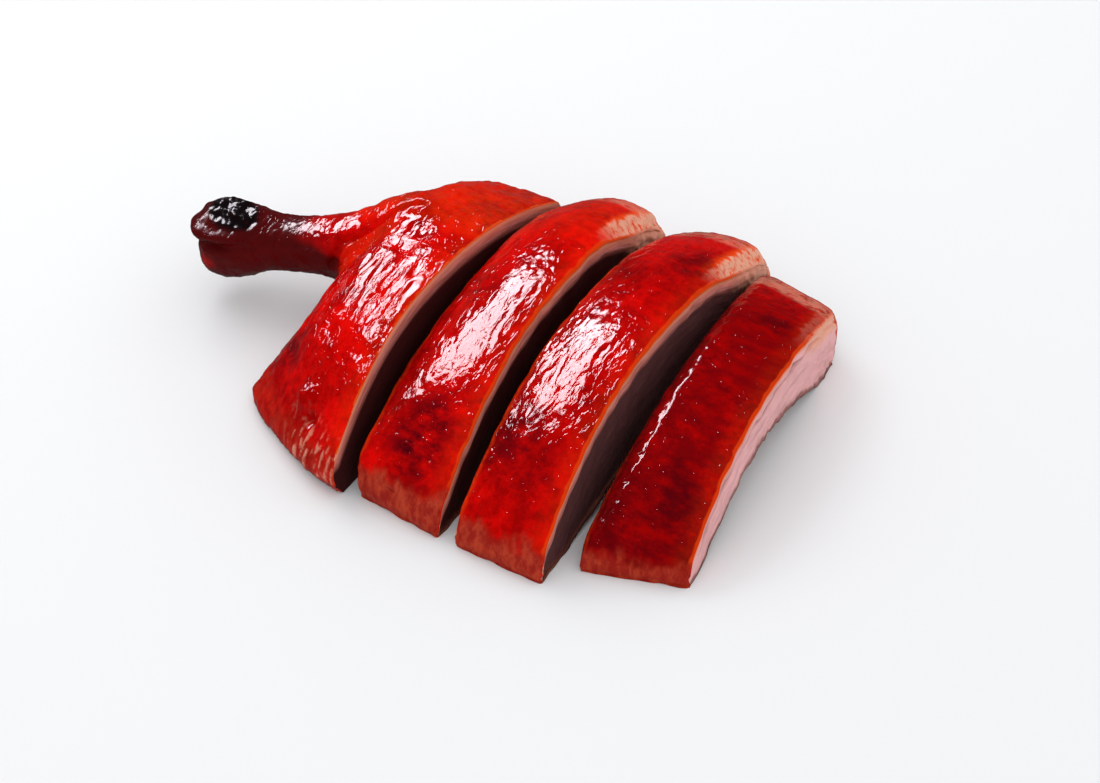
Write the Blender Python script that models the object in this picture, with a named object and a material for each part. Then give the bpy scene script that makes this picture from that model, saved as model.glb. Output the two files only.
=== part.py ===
"""Roast duck leg quarter, carved crosswise into four slices that lie close together and keep the leg's shape.

Run with: blender --background --python part.py

The leg lies skin side up. +X runs along it, from the bare shank to the last slice, +Y runs across it, along the
slices, to the end that is highest, and +Z is up. The origin is under the middle of its box, on the surface it
rests on. Sizes below are millimetres, and MM turns them into metres.
"""

import math
from dataclasses import dataclass

import bmesh
import bpy
from mathutils import Vector

MM = 0.001

# How far the leg's own drawing is moved, to put the origin under the middle of its box.
DRAWING_SHIFT = Vector((20.4, 0.0, 0.0))

# The knife leans a little, so each cut's top is further towards the shank than its foot.
KNIFE_LEAN = math.radians(3.0)

# Points round a slice: up the near side, over the skin, down the far side, and back along the underside.
NEAR_STEPS = 4
SKIN_STEPS = 30
FAR_STEPS = 6
UNDER_STEPS = 18

# The skin falls steeply to the near side, and less so to the far side.
NEAR_FALL = 2.4
FAR_FALL = 2.1
# Share of the underside, at each of its two ends, that lies flat on the surface. The rest is arched.
FOOT_SHARE = 0.12
FAR_BULGE = 4.0
# Midway between two cuts the skin stands NEAR_LIFT higher at the near side, and the far side reaches FAR_STRETCH
# further. Both swell quickly beside a cut and slowly midway.
NEAR_LIFT = 2.0
FAR_STRETCH = 1.5
SWELL_POWER = 0.7
ARCH_POWER = 0.7

# How many steps each lofted shape is made in, from end to end.
SLICE_STEPS = 6
LEG_BODY_STEPS = 14
SHANK_STEPS = 37

SHARP_EDGE = math.radians(30.0)


@dataclass
class Profile:
    """One crosswise section of the meat: where it starts and ends along Y, and how high it stands."""

    near: float
    far: float
    near_bulge: float
    shoulder: float
    crest: float
    crest_share: float
    far_edge: float
    arch: float

    def towards(self, other, share):
        """The section that lies this share of the way to another."""
        mixed = {name: a + (getattr(other, name) - a) * share for name, a in vars(self).items()}
        return Profile(**mixed)


@dataclass
class Slice:
    """A slice between two cuts: where its middle is, its width along X, what it narrows by per length, its turn.

    Midway between its cuts, the skin stands far_lift higher at the far side.
    """

    name: str
    middle: float
    width: float
    narrowing: float
    turn_deg: float
    far_lift: float
    left: Profile
    right: Profile


SLICES = (
    Slice("second_slice", -9.4, 27.4, 0.0, 0.6, 4.5,
          Profile(-60.5, 51.0, 1.0, 12.0, 31.5, 0.66, 20.0, 4.0),
          Profile(-63.6, 57.5, 0.8, 6.5, 38.0, 0.58, 22.0, 4.0)),
    Slice("third_slice", 22.0, 26.8, 0.0, 0.5, 2.5,
          Profile(-63.2, 56.0, 0.8, 6.5, 33.5, 0.60, 20.0, 4.0),
          Profile(-63.8, 61.5, 0.8, 7.0, 36.0, 0.50, 20.0, 4.5)),
    Slice("end_slice", 51.8, 27.4, 0.021, 3.5, 1.0,
          Profile(-54.0, 56.0, 0.6, 6.0, 22.0, 0.66, 17.0, 4.0),
          Profile(-46.3, 49.5, 0.6, 6.5, 26.0, 0.57, 19.5, 6.0)),
)

# The leg slice goes from its cut to the low edge where the skin ends, beside the shank.
LEG_CUT_X = -25.8
LEG_SECTIONS = (
    (0.0, Profile(-62.6, 50.0, 3.0, 15.0, 38.5, 0.46, 22.0, 3.0)),
    (12.0, Profile(-60.5, 49.0, 2.0, 10.0, 39.4, 0.50, 22.5, 3.0)),
    (24.0, Profile(-56.0, 43.5, 1.0, 7.5, 38.0, 0.56, 24.0, 2.5)),
    (34.0, Profile(-51.0, 32.0, 0.8, 6.0, 28.0, 0.60, 18.0, 2.0)),
    (40.0, Profile(-47.0, 12.0, 0.5, 5.0, 15.0, 0.62, 9.0, 1.0)),
    (43.5, Profile(-43.0, -3.0, 0.3, 3.0, 5.0, 0.62, 3.0, 0.5)),
)

# The shank and the calf behind it: a line from the knuckle into the meat, and the limb's half sizes along it.
SHANK_START = Vector((-107.6, -12.3, 18.8))
SHANK_END = Vector((-37.0, 15.5, 23.0))
SHANK_POINTS = 24
# Along the line, half height above it, half height below it, half width.
SHANK_SECTIONS = (
    (0.0, 6.0, 9.5, 6.0),
    (2.5, 9.6, 12.0, 8.4),
    (7.0, 12.2, 12.6, 9.8),
    (13.0, 12.0, 11.6, 9.8),
    (21.0, 8.4, 9.4, 8.8),
    (30.0, 7.0, 9.0, 8.2),
    (38.0, 7.8, 10.4, 8.8),
    (46.0, 10.2, 12.0, 11.6),
    (54.0, 13.6, 13.0, 15.0),
    (64.0, 16.2, 13.0, 17.0),
    (74.0, 14.0, 12.6, 15.0),
)
# The groove between the knuckle's two rounded ends, on the face that looks away from the meat.
GROOVE_DEPTH = 1.6
GROOVE_HALF_ANGLE = 0.35
GROOVE_REACH = 9.0


def clear_scene():
    for obj in list(bpy.data.objects):
        bpy.data.objects.remove(obj)


def eased(count):
    """Shares from 0 to 1, closer together at both ends, where the outline turns most."""
    return [0.5 - 0.5 * math.cos(math.pi * i / count) for i in range(count)]


def skin_height(profile, share):
    """Height of the skin at this share of the section's length."""
    top = profile.crest_share
    if share < top:
        return profile.crest - (profile.crest - profile.shoulder) * ((top - share) / top) ** NEAR_FALL
    return profile.crest - (profile.crest - profile.far_edge) * ((share - top) / (1.0 - top)) ** FAR_FALL


def underside_height(profile, share):
    """Height of the underside: flat feet at both ends and a low arch between them."""
    inner = (share - FOOT_SHARE) / (1.0 - 2.0 * FOOT_SHARE)
    return profile.arch * math.sin(math.pi * inner) ** ARCH_POWER if 0.0 < inner < 1.0 else 0.0


def outline(profile, across, far_lift):
    """Points (y, z) round a section. across is 0 and 1 at the two cuts, and the skin swells between them."""
    swell = math.sin(math.pi * across) ** SWELL_POWER
    far = profile.far + FAR_STRETCH * swell
    length = far - profile.near
    points = []
    for i in range(NEAR_STEPS):
        rise = i / NEAR_STEPS
        bulge = profile.near_bulge * math.sin(math.pi * rise)
        points.append((profile.near - bulge, (profile.shoulder + NEAR_LIFT * swell) * rise))
    for share in eased(SKIN_STEPS):
        lift = swell * (NEAR_LIFT + (far_lift - NEAR_LIFT) * share)
        points.append((profile.near + length * share, skin_height(profile, share) + lift))
    for i in range(FAR_STEPS):
        fall = i / FAR_STEPS
        bulge = FAR_BULGE * math.sin(math.pi * fall)
        points.append((far + bulge, (profile.far_edge + far_lift * swell) * (1.0 - fall)))
    for share in eased(UNDER_STEPS):
        points.append((far - length * share, underside_height(profile, 1.0 - share)))
    return points


def loft(name, rings):
    """A closed mesh object through these rings, made by drawing the first one's face out from ring to ring."""
    bm = bmesh.new()
    first = cap = bm.faces.new([bm.verts.new(point) for point in rings[0]])
    for ring in rings[1:]:
        grown = bmesh.ops.extrude_face_region(bm, geom=[cap])["geom"]
        if cap is not first:
            bm.faces.remove(cap)
        cap = next(part for part in grown if isinstance(part, bmesh.types.BMFace))
        for vert, point in zip(cap.verts, ring):
            vert.co = point
    bmesh.ops.recalc_face_normals(bm, faces=bm.faces)
    mesh = bpy.data.meshes.new(name)
    bm.to_mesh(mesh)
    bm.free()
    mesh.shade_smooth()
    mesh.set_sharp_from_angle(angle=SHARP_EDGE)
    obj = bpy.data.objects.new(name, mesh)
    bpy.context.scene.collection.objects.link(obj)
    return obj


def leaning(points, x, narrowing=0.0):
    """A section's outline as points in metres, leaning with the knife."""
    lean = math.tan(KNIFE_LEAN)
    return [Vector((x - narrowing * y - z * lean, y, z)) * MM for y, z in points]


def make_slice(slice_):
    """A slice lofted from its left cut to its right one, then turned and put in its place along the leg."""
    rings = []
    for i in range(SLICE_STEPS + 1):
        across = i / SLICE_STEPS
        profile = slice_.left.towards(slice_.right, across)
        side = across - 0.5
        points = outline(profile, across, slice_.far_lift)
        rings.append(leaning(points, side * slice_.width, side * slice_.narrowing))
    obj = loft(slice_.name, rings)
    obj.location = Vector((slice_.middle, 0.0, 0.0)) * MM
    obj.rotation_euler.z = math.radians(slice_.turn_deg)
    return obj


def between(sections, at):
    """A section's values at this distance, on a smooth curve through the given sections."""
    last = len(sections) - 1
    k = max(i for i in range(last) if sections[i][0] <= at or i == 0)
    share = (at - sections[k][0]) / (sections[k + 1][0] - sections[k][0])
    before, start, end, after = (sections[min(max(i, 0), last)][1] for i in (k - 1, k, k + 1, k + 2))
    mixed = []
    for a, b, c, d in zip(before, start, end, after):
        straight = (c - a) * share
        bend = (2 * a - 5 * b + 4 * c - d) * share**2
        twist = (3 * b - a - 3 * c + d) * share**3
        mixed.append(0.5 * (2 * b + straight + bend + twist))
    return mixed


def make_leg_body():
    """The thigh's meat, from the first cut to its low skin edge."""
    sections = [(at, list(vars(profile).values())) for at, profile in LEG_SECTIONS]
    reach = sections[-1][0]
    rings = []
    for i in range(LEG_BODY_STEPS + 1):
        at = reach * i / LEG_BODY_STEPS
        profile = Profile(*between(sections, at))
        rings.append(leaning(outline(profile, 0.0, 0.0), LEG_CUT_X - at))
    return loft("leg_slice", rings)


def make_shank():
    """The bare shank with its knuckle, widening into the calf, as far as the middle of the thigh."""
    sections = [(at, sizes) for at, *sizes in SHANK_SECTIONS]
    reach = sections[-1][0]
    along = (SHANK_END - SHANK_START).normalized()
    side = along.cross(Vector((0.0, 0.0, 1.0))).normalized()
    up = side.cross(along)
    rings = []
    for i in range(SHANK_STEPS + 1):
        at = reach * i / SHANK_STEPS
        above, below, half_width = between(sections, at)
        fade = max(0.0, 1.0 - at / GROOVE_REACH)
        ring = []
        for k in range(SHANK_POINTS):
            angle = 2.0 * math.pi * k / SHANK_POINTS
            tall = above if math.sin(angle) > 0.0 else below
            off_level = min(abs(math.sin(angle)), 1.0) / GROOVE_HALF_ANGLE
            pinch = GROOVE_DEPTH * fade * math.exp(-off_level * off_level)
            sideways = math.cos(angle) * (half_width - pinch)
            ring.append((SHANK_START + along * at + side * sideways + up * tall * math.sin(angle)) * MM)
        rings.append(ring)
    shank = loft("shank_helper", rings)
    shank.hide_render = True
    shank.display_type = "WIRE"
    return shank


def make_leg_slice():
    """Thigh, calf and shank are one piece of meat, so they are joined into one solid."""
    body = make_leg_body()
    shank = make_shank()
    union = body.modifiers.new("with_shank", "BOOLEAN")
    union.operation = "UNION"
    union.object = shank
    return body, shank


def roast_material(name, colour, roughness):
    material = bpy.data.materials.new(name)
    material.use_nodes = True
    shader = material.node_tree.nodes["Principled BSDF"]
    shader.inputs["Base Color"].default_value = (*colour, 1.0)
    shader.inputs["Roughness"].default_value = roughness
    shader.inputs["Metallic"].default_value = 0.0
    return material


def main():
    clear_scene()
    skin = roast_material("lacquered_skin", (0.42, 0.012, 0.006), 0.18)
    place = bpy.data.objects.new("roast_duck_leg", None)
    bpy.context.scene.collection.objects.link(place)
    place.location = DRAWING_SHIFT * MM
    leg, shank = make_leg_slice()
    pieces = [leg, shank] + [make_slice(slice_) for slice_ in SLICES]
    for piece in pieces:
        piece.data.materials.append(skin)
        piece.parent = place


main()
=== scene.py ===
"""The looks of a roast duck leg quarter, carved crosswise into four slices that lie close together.

Every piece is drawn in millimetres, in the leg's own drawing: X runs along the leg from the bare shank to
the last slice, Y runs across it, along the slices, and Z is up from the surface it lies on.
"""

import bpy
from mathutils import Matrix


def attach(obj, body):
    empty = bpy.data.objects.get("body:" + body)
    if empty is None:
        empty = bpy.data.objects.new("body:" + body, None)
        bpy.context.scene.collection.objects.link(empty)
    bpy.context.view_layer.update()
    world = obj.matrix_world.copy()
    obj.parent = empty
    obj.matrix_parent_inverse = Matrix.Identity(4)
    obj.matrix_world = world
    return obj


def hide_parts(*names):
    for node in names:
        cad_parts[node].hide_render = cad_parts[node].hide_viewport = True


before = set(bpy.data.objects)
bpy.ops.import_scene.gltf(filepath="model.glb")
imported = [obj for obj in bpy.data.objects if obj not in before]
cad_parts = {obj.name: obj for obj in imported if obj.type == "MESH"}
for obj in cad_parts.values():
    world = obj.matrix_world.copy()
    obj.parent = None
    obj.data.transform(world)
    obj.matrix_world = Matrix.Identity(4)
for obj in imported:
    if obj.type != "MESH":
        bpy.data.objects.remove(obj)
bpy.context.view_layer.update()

import itertools
import math
from types import SimpleNamespace

import bmesh
import bpy
import numpy as np
from mathutils import Matrix, Vector

# --------------------------------------------------------------------------------------------------
# The studio: a plain near-white floor, one soft box up behind the shank, and a pale room.
# The soft box is a lit sheet of cloth, the kind that leaves hard-edged white marks on lacquered skin.
# The camera looks down on the leg from the side of the carved end.

MM = 0.001
FLOOR_SIZE = 6.0
FLOOR_COLOUR = (0.83, 0.83, 0.835)
FLOOR_ROUGHNESS = 0.9
CAMERA_LENS = 85.0
CAMERA_CLIP = 0.01
CAMERA_AIM = Vector((0.0204, 0.0, 0.0))
CAMERA_DISTANCE = 0.7127
CAMERA_AZIMUTH = math.radians(31.0)
CAMERA_ELEVATION = math.radians(42.3)
SOFTBOX_TOWARDS = Vector((-0.61, 0.26, 0.75))
SOFTBOX_DISTANCE = 0.75
GLINT_STEP = 0.01
SOFTBOX_WIDTH = 0.31
SOFTBOX_LENGTH = 0.55
SOFTBOX_WATTS = 1.2
GLINT_WATTS = 15.0
GLINT_COLOUR = (0.98, 0.92, 1.0)
ROOM_COLOUR = (0.97, 0.985, 1.0)
ROOM_LIGHT = 1.03
# How bright reflections see the ceiling and the horizon, and what the floor adds to the horizon. Then the
# heights on a sphere of radius 1 between which the horizon turns into the ceiling, and the floor's share fades.
CEILING_REFLECTED = 0.01
HORIZON_REFLECTED = 0.05
FLOOR_REFLECTED = 0.08
HORIZON_TO_CEILING = (0.0, 0.55)
FLOOR_TO_HORIZON = (-0.8, -0.05)


def add_node(tree, kind, **settings):
    """A shader node, with its properties set."""
    made = tree.nodes.new(kind)
    for name, value in settings.items():
        setattr(made, name, value)
    return made


def join(tree, source, target):
    tree.links.new(source, target)


def eased(tree, value, between, to_low, to_high):
    """Turns a socket's value smoothly from one number into another, between two values of it."""
    made = add_node(tree, "ShaderNodeMapRange", interpolation_type="SMOOTHSTEP")
    made.inputs["From Min"].default_value = between[0]
    made.inputs["From Max"].default_value = between[1]
    made.inputs["To Min"].default_value = to_low
    made.inputs["To Max"].default_value = to_high
    join(tree, value, made.inputs["Value"])
    return made.outputs["Result"]


def make_floor():
    bm = bmesh.new()
    bmesh.ops.create_grid(bm, x_segments=1, y_segments=1, size=FLOOR_SIZE / 2.0)
    mesh = bpy.data.meshes.new("floor")
    bm.to_mesh(mesh)
    bm.free()
    floor = bpy.data.objects.new("floor", mesh)
    bpy.context.scene.collection.objects.link(floor)
    material = bpy.data.materials.new("pale_floor")
    material.use_nodes = True
    shader = material.node_tree.nodes["Principled BSDF"]
    shader.inputs["Base Color"].default_value = (*FLOOR_COLOUR, 1.0)
    shader.inputs["Roughness"].default_value = FLOOR_ROUGHNESS
    shader.inputs["Specular IOR Level"].default_value = 0.0
    mesh.materials.append(material)
    floor.visible_glossy = False
    return floor


def make_camera():
    back = Vector((
        math.sin(CAMERA_AZIMUTH) * math.cos(CAMERA_ELEVATION),
        -math.cos(CAMERA_AZIMUTH) * math.cos(CAMERA_ELEVATION),
        math.sin(CAMERA_ELEVATION),
    ))
    data = bpy.data.cameras.new("camera")
    data.lens = CAMERA_LENS
    data.clip_start = CAMERA_CLIP
    camera = bpy.data.objects.new("camera", data)
    camera.location = CAMERA_AIM + back * CAMERA_DISTANCE
    camera.rotation_euler = (-back).to_track_quat("-Z", "Y").to_euler()
    bpy.context.scene.collection.objects.link(camera)
    bpy.context.scene.camera = camera


def make_softbox(name, watts, distance, lights_surfaces):
    """An area light facing the leg, long side along the slices. It may light surfaces or only reflect."""
    data = bpy.data.lights.new(name, "AREA")
    data.shape = "RECTANGLE"
    data.size = SOFTBOX_WIDTH
    data.size_y = SOFTBOX_LENGTH
    data.energy = watts
    if not lights_surfaces:
        data.color = GLINT_COLOUR
    light = bpy.data.objects.new(name, data)
    towards = SOFTBOX_TOWARDS.normalized()
    long_side = Vector((0.0, 1.0, 0.0)).cross(towards).cross(-towards).normalized()
    axes = Matrix((long_side.cross(towards), long_side, towards)).transposed()
    light.location = CAMERA_AIM + towards * distance
    light.rotation_euler = axes.to_euler()
    light.visible_diffuse = lights_surfaces
    bpy.context.scene.collection.objects.link(light)


def make_room():
    """Even light from all round. Reflections see a dark ceiling, a dim horizon and a paler floor."""
    world = bpy.data.worlds.new("room")
    bpy.context.scene.world = world
    world.use_nodes = True
    tree = world.node_tree
    tree.nodes.clear()
    even = add_node(tree, "ShaderNodeBackground")
    even.inputs["Color"].default_value = (*ROOM_COLOUR, 1.0)
    even.inputs["Strength"].default_value = ROOM_LIGHT
    reflected = add_node(tree, "ShaderNodeBackground")
    where = add_node(tree, "ShaderNodeTexCoord")
    split = add_node(tree, "ShaderNodeSeparateXYZ")
    join(tree, where.outputs["Generated"], split.inputs[0])
    above = eased(tree, split.outputs["Z"], HORIZON_TO_CEILING, HORIZON_REFLECTED, CEILING_REFLECTED)
    below = eased(tree, split.outputs["Z"], FLOOR_TO_HORIZON, FLOOR_REFLECTED, 0.0)
    both = add_node(tree, "ShaderNodeMath", operation="ADD")
    path = add_node(tree, "ShaderNodeLightPath")
    choose = add_node(tree, "ShaderNodeMixShader")
    out = add_node(tree, "ShaderNodeOutputWorld")
    join(tree, above, both.inputs[0])
    join(tree, below, both.inputs[1])
    join(tree, both.outputs[0], reflected.inputs["Strength"])
    join(tree, path.outputs["Is Glossy Ray"], choose.inputs["Fac"])
    join(tree, even.outputs[0], choose.inputs[1])
    join(tree, reflected.outputs[0], choose.inputs[2])
    join(tree, choose.outputs[0], out.inputs["Surface"])


make_floor()
make_camera()
make_softbox("softbox", SOFTBOX_WATTS, SOFTBOX_DISTANCE, lights_surfaces=True)
make_softbox("softbox_glint", GLINT_WATTS, SOFTBOX_DISTANCE - GLINT_STEP, lights_surfaces=False)
make_room()
bpy.context.scene.view_settings.view_transform = "Standard"

# --------------------------------------------------------------------------------------------------
# The three carved slices: thigh meat under one sheet of skin, cut straight through with a cleaver.
# The skin was brushed with maltose and soy and roasted: a clear red lacquer over a browned, wrinkled hide.
# Each slice keeps its place beside its neighbours, with the narrow gap that the knife left.

# How far the drawing is moved to put the frame's origin under the middle of the leg.
DRAWING_SHIFT = np.array((20.4, 0.0, 0.0))
KNIFE_LEAN = math.tan(math.radians(3.0))
NEAR_FALL = 2.4
FAR_FALL = 2.1
FOOT_SHARE = 0.12
ARCH_FULLNESS = 0.7
FAR_BULGE = 4.0
NEAR_LIFT = 2.0
FAR_STRETCH = 1.3

# A section's numbers: near and far ends along Y, near bulge, shoulder height, crest height, where the crest
# is as a share of the length, far edge height, and the arch of the underside.
NEAR, FAR, BULGE, SHOULDER, CREST, CREST_SHARE, FAR_EDGE, ARCH = range(8)

# Faces of a slice's block before it is shaped.
GRID_ACROSS = 72
GRID_ALONG = 300
GRID_HEIGHT = 50
# Over 1, the rows of faces crowd towards the skin.
LAYER_CROWDING = 1.3

# Radii of the edges at the cuts, at the slice's two ends, and at its near shoulder.
CUT_RIM = 0.7
END_ROUNDING = 1.2
SHOULDER_ROUNDING = 3.2
SHOULDER_UNEVEN = 0.9
# The cut edges wander by about this much, within this reach of the cut.
EDGE_WOBBLE = 0.35
WOBBLE_REACH = 3.0
# The right cut's foot is hollowed within one reach, and ragged within the other.
SCALLOP_LENGTH = 2.1
SCALLOP_REACH = 2.5
UNDERCUT_REACH = 7.0
UNDERCUT_START = 0.06
UNDERCUT_LENGTH = 0.84
# Shares of a slice's length: its near end, its far end, and where the fat shows along its right rim.
NEAR_END = (0.05, 0.0)
FAR_END = (0.93, 1.0)
ROUNDED_NEAR = (0.04, 0.0)
ROUNDED_FAR = (0.96, 1.0)
FAR_RIM = (0.72, 0.86)
FAR_RIM_WIDTH = 3.8

RELIEF_SEED = 4
# Brings the noise's usual range to about -1 to 1.
NOISE_GAIN = 1.6
shuffler = np.random.default_rng(RELIEF_SEED)
SHUFFLE = shuffler.permutation(256)
GRADIENTS = shuffler.normal(size=(256, 3))
GRADIENTS /= np.linalg.norm(GRADIENTS, axis=1, keepdims=True)


def noise(points):
    """Smooth noise, from about -1 to 1, at points given in cells."""
    cell = np.floor(points).astype(int)
    inside = points - cell
    fade = inside**3 * (inside * (inside * 6.0 - 15.0) + 10.0)
    total = np.zeros(len(points))
    for corner in itertools.product((0, 1), repeat=3):
        at = cell + corner
        pick = SHUFFLE[at[:, 0] & 255]
        pick = SHUFFLE[(pick + at[:, 1]) & 255]
        pick = SHUFFLE[(pick + at[:, 2]) & 255]
        weight = np.prod(np.where(corner, fade, 1.0 - fade), axis=1)
        total += weight * ((inside - corner) * GRADIENTS[pick]).sum(axis=1)
    return NOISE_GAIN * total


# Patterns of relief: the size of a lump along X, Y and Z, and a shift that gives each a place of its own in
# the noise.
PATTERNS = {
    "waves": ((9.0, 16.0, 9.0), 0.0),
    "wrinkles": ((1.5, 5.0, 2.2), 0.0),
    "fine_wrinkles": ((0.9, 2.4, 1.4), 7.0),
    "far_wrinkles": ((3.0, 1.3, 2.0), 47.0),
    "pits": ((1.2, 1.5, 1.2), 3.0),
    "dimples": ((2.0, 3.0, 2.0), 29.0),
    "fine_dimples": ((1.1, 1.1, 1.1), 33.0),
    "near_folds": ((1.8, 30.0, 7.0), 19.0),
    "dull_border": ((5.0, 9.0, 9.0), 11.0),
    "dull_fringe": ((1.6, 3.0, 3.0), 15.0),
    "underside": ((5.0, 8.0, 5.0), 37.0),
    "left_glow": ((3.0, 5.0, 3.0), 23.0),
    "right_glow": ((2.0, 3.0, 2.0), 27.0),
    "leg_waves": ((9.0, 12.0, 9.0), 31.0),
    "leg_wrinkles": ((1.5, 4.0, 2.2), 0.0),
    "leg_fine_wrinkles": ((0.9, 2.0, 1.4), 7.0),
    "skirt_folds": ((1.3, 1.7, 10.0), 3.0),
    "fine_skirt_folds": ((0.8, 1.1, 7.0), 13.0),
    "top_streaks": ((2.2, 6.5, 4.0), 41.0),
    "swollen": ((1.5, 1.5, 1.5), 61.0),
    "leg_cut": ((3.0, 9.0, 0.8), 0.0),
    "crust": ((3.0, 3.0, 3.0), 0.0),
    "fine_crust": ((1.3, 1.3, 1.3), 0.0),
    "shank_lumps": ((4.5, 4.5, 4.5), 53.0),
    "shank_ripples": ((1.8, 1.8, 1.8), 57.0),
    "shank_grit": ((0.9, 0.9, 0.9), 67.0),
}
# Patterns over two distances: the size of a lump along each, and a shift.
FLAT_PATTERNS = {
    "fibres": ((9.0, 0.7), 0.0),
    "lumps": ((6.0, 3.0), 5.0),
    "torn": ((2.2, 2.6), 9.0),
    "ribs": ((1.8, 5.0), 2.0),
    "uneven": ((4.0, 6.0), 0.0),
    "wobble": ((5.0, 12.0), 0.0),
}


def pattern(name, points):
    """The height of a pattern, from about -1 to 1, at points in millimetres."""
    cells, shift = PATTERNS[name]
    return noise(points / cells + shift)


def columns(*parts):
    """Rows of numbers and single numbers, side by side as the columns of one table."""
    return np.stack(np.broadcast_arrays(*parts), axis=1)


def flat_pattern(name, first, second, place):
    """The height of a pattern over two distances in millimetres. place makes each slice's pattern its own."""
    cells, shift = FLAT_PATTERNS[name]
    return noise(columns(first / cells[0], second / cells[1], place + shift))


def ramp(value, start, end):
    """0 before start, 1 after end, and a smooth rise between them."""
    share = np.clip((value - start) / (end - start), 0.0, 1.0)
    return share * share * (3.0 - 2.0 * share)


def rounding(distance, radius):
    """How far a rounded edge lies below a sharp one, at this distance from it."""
    short = np.clip(radius - distance, 0.0, radius)
    return radius - np.sqrt(radius * radius - short * short)


def swelling(across, peak, fall_power):
    """How far the skin swells between two cuts: 1 at this share of the width, and 0 at both cuts."""
    rising = 1.0 - np.clip(1.0 - across / peak, 0.0, 1.0) ** 2
    falling = 1.0 - (np.clip(across - peak, 0.0, None) / (1.0 - peak)) ** fall_power
    return np.where(across < peak, rising, falling)


def skin_height(section, share):
    """Height of the skin at this share of each section's length."""
    top = section[:, CREST_SHARE]
    crest = section[:, CREST]
    before = np.clip((top - share) / top, 0.0, None) ** NEAR_FALL
    after = np.clip((share - top) / (1.0 - top), 0.0, None) ** FAR_FALL
    near_drop = (crest - section[:, SHOULDER]) * before
    far_drop = (crest - section[:, FAR_EDGE]) * after
    return crest - near_drop - far_drop


def underside_height(section, share):
    inner = np.clip((share - FOOT_SHARE) / (1.0 - 2.0 * FOOT_SHARE), 0.0, 1.0)
    return section[:, ARCH] * np.sin(math.pi * inner) ** ARCH_FULLNESS


def block(name, counts):
    """A unit cube cut into a grid of faces. Returns its mesh, its points and which way each face looks."""
    bm = bmesh.new()
    bmesh.ops.create_cube(bm, size=1.0)
    for axis, count in enumerate(counts):
        running = [e for e in bm.edges if abs((e.verts[1].co - e.verts[0].co)[axis]) > 0.5]
        bmesh.ops.subdivide_edges(bm, edges=running, cuts=count - 1, use_grid_fill=True)
    bm.normal_update()
    looks = np.array([face.normal for face in bm.faces])
    mesh = bpy.data.meshes.new(name)
    bm.to_mesh(mesh)
    bm.free()
    return mesh, read_points(mesh) + 0.5, looks


def read_points(mesh):
    flat = np.empty(len(mesh.vertices) * 3, np.float32)
    mesh.vertices.foreach_get("co", flat)
    return flat.reshape(-1, 3).astype(float)


def write_points(mesh, points):
    mesh.vertices.foreach_set("co", points.astype(np.float32).ravel())
    mesh.update()


def normals_of(mesh):
    flat = np.empty(len(mesh.vertices) * 3, np.float32)
    mesh.vertex_normals.foreach_get("vector", flat)
    return flat.reshape(-1, 3).astype(float)


def store(mesh, name, values):
    """Keeps a number for each point, which the materials read by name."""
    attribute = mesh.attributes.new(name, "FLOAT", "POINT")
    attribute.data.foreach_set("value", values.astype(np.float32))


def store_grain(mesh, points):
    """Keeps where each point lies along the meat's grain, in millimetres."""
    attribute = mesh.attributes.new("grain", "FLOAT_VECTOR", "POINT")
    attribute.data.foreach_set("vector", points.astype(np.float32).ravel())


def placed(name, mesh, materials):
    """A finished piece: its object at the origin, smooth, with its materials."""
    mesh.shade_smooth()
    for material in materials:
        mesh.materials.append(material)
    piece = bpy.data.objects.new(name, mesh)
    bpy.context.scene.collection.objects.link(piece)
    return piece


def value_socket(tree, name, kind, default=None, is_output=False):
    made = tree.interface.new_socket(
        name=name, in_out="OUTPUT" if is_output else "INPUT", socket_type=kind)
    if default is not None:
        made.default_value = default
    return made


def make_mottle_group():
    """Blotches of a given size and share. Vector is in millimetres."""
    tree = bpy.data.node_groups.new("mottle", "ShaderNodeTree")
    value_socket(tree, "Vector", "NodeSocketVector")
    value_socket(tree, "Cell", "NodeSocketFloat", 5.0)
    value_socket(tree, "From", "NodeSocketFloat", 0.45)
    value_socket(tree, "To", "NodeSocketFloat", 0.6)
    value_socket(tree, "Fac", "NodeSocketFloat", is_output=True)
    ins = add_node(tree, "NodeGroupInput")
    outs = add_node(tree, "NodeGroupOutput")
    size = add_node(tree, "ShaderNodeMath", operation="DIVIDE")
    size.inputs[0].default_value = 1.0
    cloud = add_node(tree, "ShaderNodeTexNoise")
    cloud.inputs["Detail"].default_value = 6.0
    cloud.inputs["Roughness"].default_value = 0.68
    shape = add_node(tree, "ShaderNodeMapRange", interpolation_type="SMOOTHSTEP")
    join(tree, ins.outputs["Cell"], size.inputs[1])
    join(tree, ins.outputs["Vector"], cloud.inputs["Vector"])
    join(tree, size.outputs[0], cloud.inputs["Scale"])
    join(tree, cloud.outputs["Fac"], shape.inputs["Value"])
    join(tree, ins.outputs["From"], shape.inputs["From Min"])
    join(tree, ins.outputs["To"], shape.inputs["From Max"])
    join(tree, shape.outputs["Result"], outs.inputs["Fac"])
    return tree


MOTTLE = make_mottle_group()


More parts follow.
